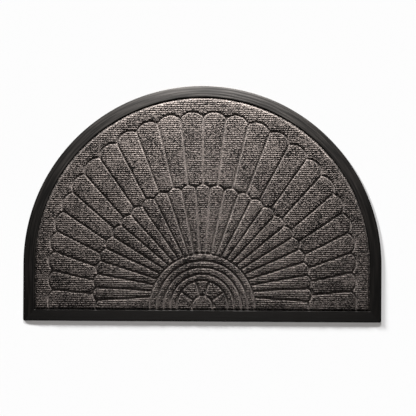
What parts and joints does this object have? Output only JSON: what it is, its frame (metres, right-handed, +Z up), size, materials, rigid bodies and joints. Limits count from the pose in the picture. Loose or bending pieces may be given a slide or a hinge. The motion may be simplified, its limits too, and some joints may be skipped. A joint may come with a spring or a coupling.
{
  "type": "half round doormat",
  "caption": "Half round entrance doormat: ribbed grey carpet with an embossed shell fan, set in a moulded black rubber base with a raised border.",
  "frame": {"origin": "underside of the mat, at the middle of its outline's bounding box", "axes": "+X along the straight edge, +Y from the straight edge to the arch, +Z up out of the carpet"},
  "size_m": [0.914, 0.602, 0.0094],
  "materials": {
    "rubber": "moulded black rubber, satin, with fine lines along the border",
    "carpet": "needle punched ribbed polypropylene, heathered charcoal and warm grey, matt"
  },
  "bodies": {
    "root": {"rubber_base": "rubber", "carpet": "carpet"}
  },
  "joints": []
}
